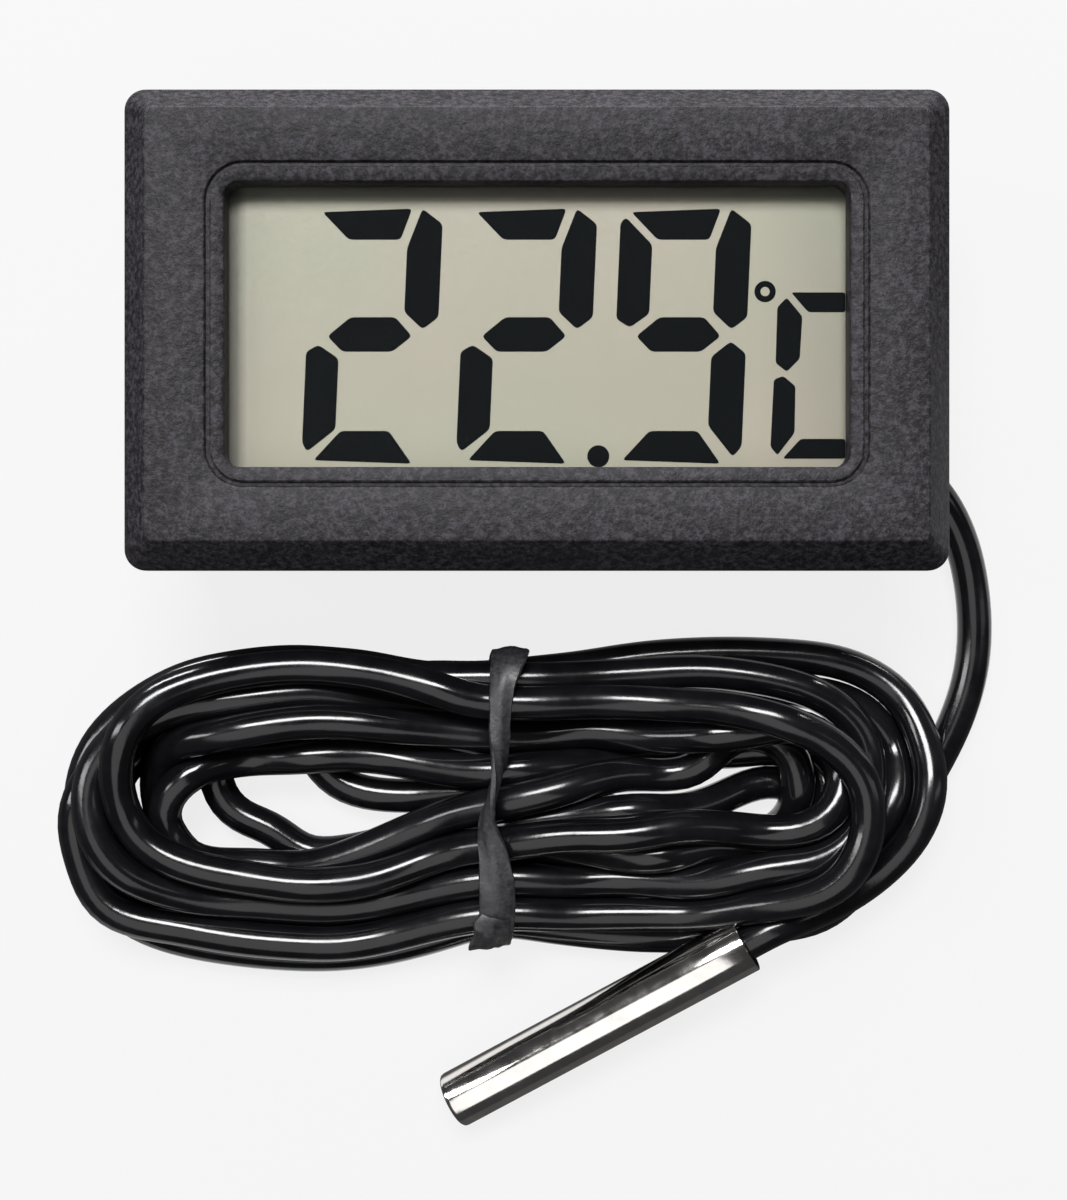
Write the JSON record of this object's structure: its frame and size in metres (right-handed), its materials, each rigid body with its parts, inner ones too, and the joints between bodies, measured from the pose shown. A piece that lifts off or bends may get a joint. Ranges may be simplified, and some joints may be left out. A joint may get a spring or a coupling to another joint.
{
  "type": "digital panel thermometer",
  "caption": "Small black panel thermometer with a digital display, sprung panel clips, a battery lid, and a steel probe on a thin cable folded into a tied hank.",
  "frame": {"origin": "centre of the meter's rear face, which rests on the table; the cable, the hank and the probe aren't counted", "axes": "+Z out of the display, away from the table; +X to the display's right; +Y to the display's top"},
  "size_m": [0.0606, 0.0634, 0.0152],
  "materials": {
    "case_plastic": "fine-grained moulded plastic",
    "cable_jacket": "smooth glossy plastic cable jacket",
    "tie_plastic": "satin plastic ribbon over a wire",
    "display_glass": "polished thin glass",
    "polariser_film": "satin grey-green film",
    "display_reflector": "satin grey-green reflector film",
    "connector_rubber": "soft striped rubber",
    "foam": "open foam",
    "board_laminate": "green solder mask",
    "epoxy": "cured epoxy",
    "steel": "satin steel",
    "probe_steel": "drawn stainless tube, nearly mirror-bright",
    "cap_steel": "satin nickel-plated steel",
    "contact_metal": "nickel-plated spring strip",
    "solder": "satin solder",
    "seal_plastic": "moulded nylon",
    "electrode": "pressed powder",
    "capacitor_ceramic": "fired ceramic",
    "resistor_black": "glazed ceramic",
    "core_red": "red insulation",
    "core_black": "black insulation",
    "hot_glue": "cloudy hot glue",
    "bead_epoxy": "dipped epoxy bead"
  },
  "bodies": {
    "meter": {"front_housing": "case_plastic", "rear_cover": "case_plastic", "display_polariser": "polariser_film", "display_front_glass": "display_glass", "display_rear_glass": "display_glass", "display_reflector": "display_reflector", "zebra_connector": "connector_rubber", "foam_pad": "foam", "circuit_board": "board_laminate", "chip_blob": "epoxy", "probe_potting": "epoxy", "timing_crystal": "steel", "board_screw_1": "steel", "board_screw_2": "steel", "board_screw_3": "steel", "board_screw_4": "steel", "cell_1_can": "steel", "cell_2_can": "steel", "resistor_1": "resistor_black", "resistor_2": "resistor_black", "capacitor_1": "capacitor_ceramic", "capacitor_2": "capacitor_ceramic", "cell_1_core": "electrode", "cell_2_core": "electrode", "cell_1_seal": "seal_plastic", "cell_2_seal": "seal_plastic", "cell_1_cap": "cap_steel", "cell_2_cap": "cap_steel", "contact_positive": "contact_metal", "contact_link": "contact_metal", "contact_negative": "contact_metal", "cord_tail": "cable_jacket", "cord_lead_in": "cable_jacket", "cord_hank": "cable_jacket", "cord_lead_out": "cable_jacket", "cable_glue": "hot_glue", "core_wire_a": "core_red", "core_wire_b": "core_black", "solder_joint_a": "solder", "solder_joint_b": "solder", "thermistor_leg_a": "solder", "thermistor_leg_b": "solder", "cord_tie": "tie_plastic", "probe_sheath": "probe_steel", "thermistor_bead": "bead_epoxy"},
    "lid": {"battery_lid": "case_plastic"},
    "clip_left": {"panel_clip_left": "case_plastic"},
    "clip_right": {"panel_clip_right": "case_plastic"}
  },
  "joints": [
    {"name": "battery_lid_slide", "type": "slide", "parent": "meter", "child": "lid", "axis": [0, 1, 0], "range_m": [0, 0.0155]},
    {"name": "panel_clip_left_flex", "type": "hinge", "parent": "meter", "child": "clip_left", "pos_m": [-0.0223, 0, 0.0034], "axis": [0, 1, 0], "range_deg": [0, 10], "stiffness_Nm_per_rad": 0.15},
    {"name": "panel_clip_right_flex", "type": "hinge", "parent": "meter", "child": "clip_right", "pos_m": [0.0223, 0, 0.0034], "axis": [0, -1, 0], "range_deg": [0, 10], "stiffness_Nm_per_rad": 0.15}
  ]
}
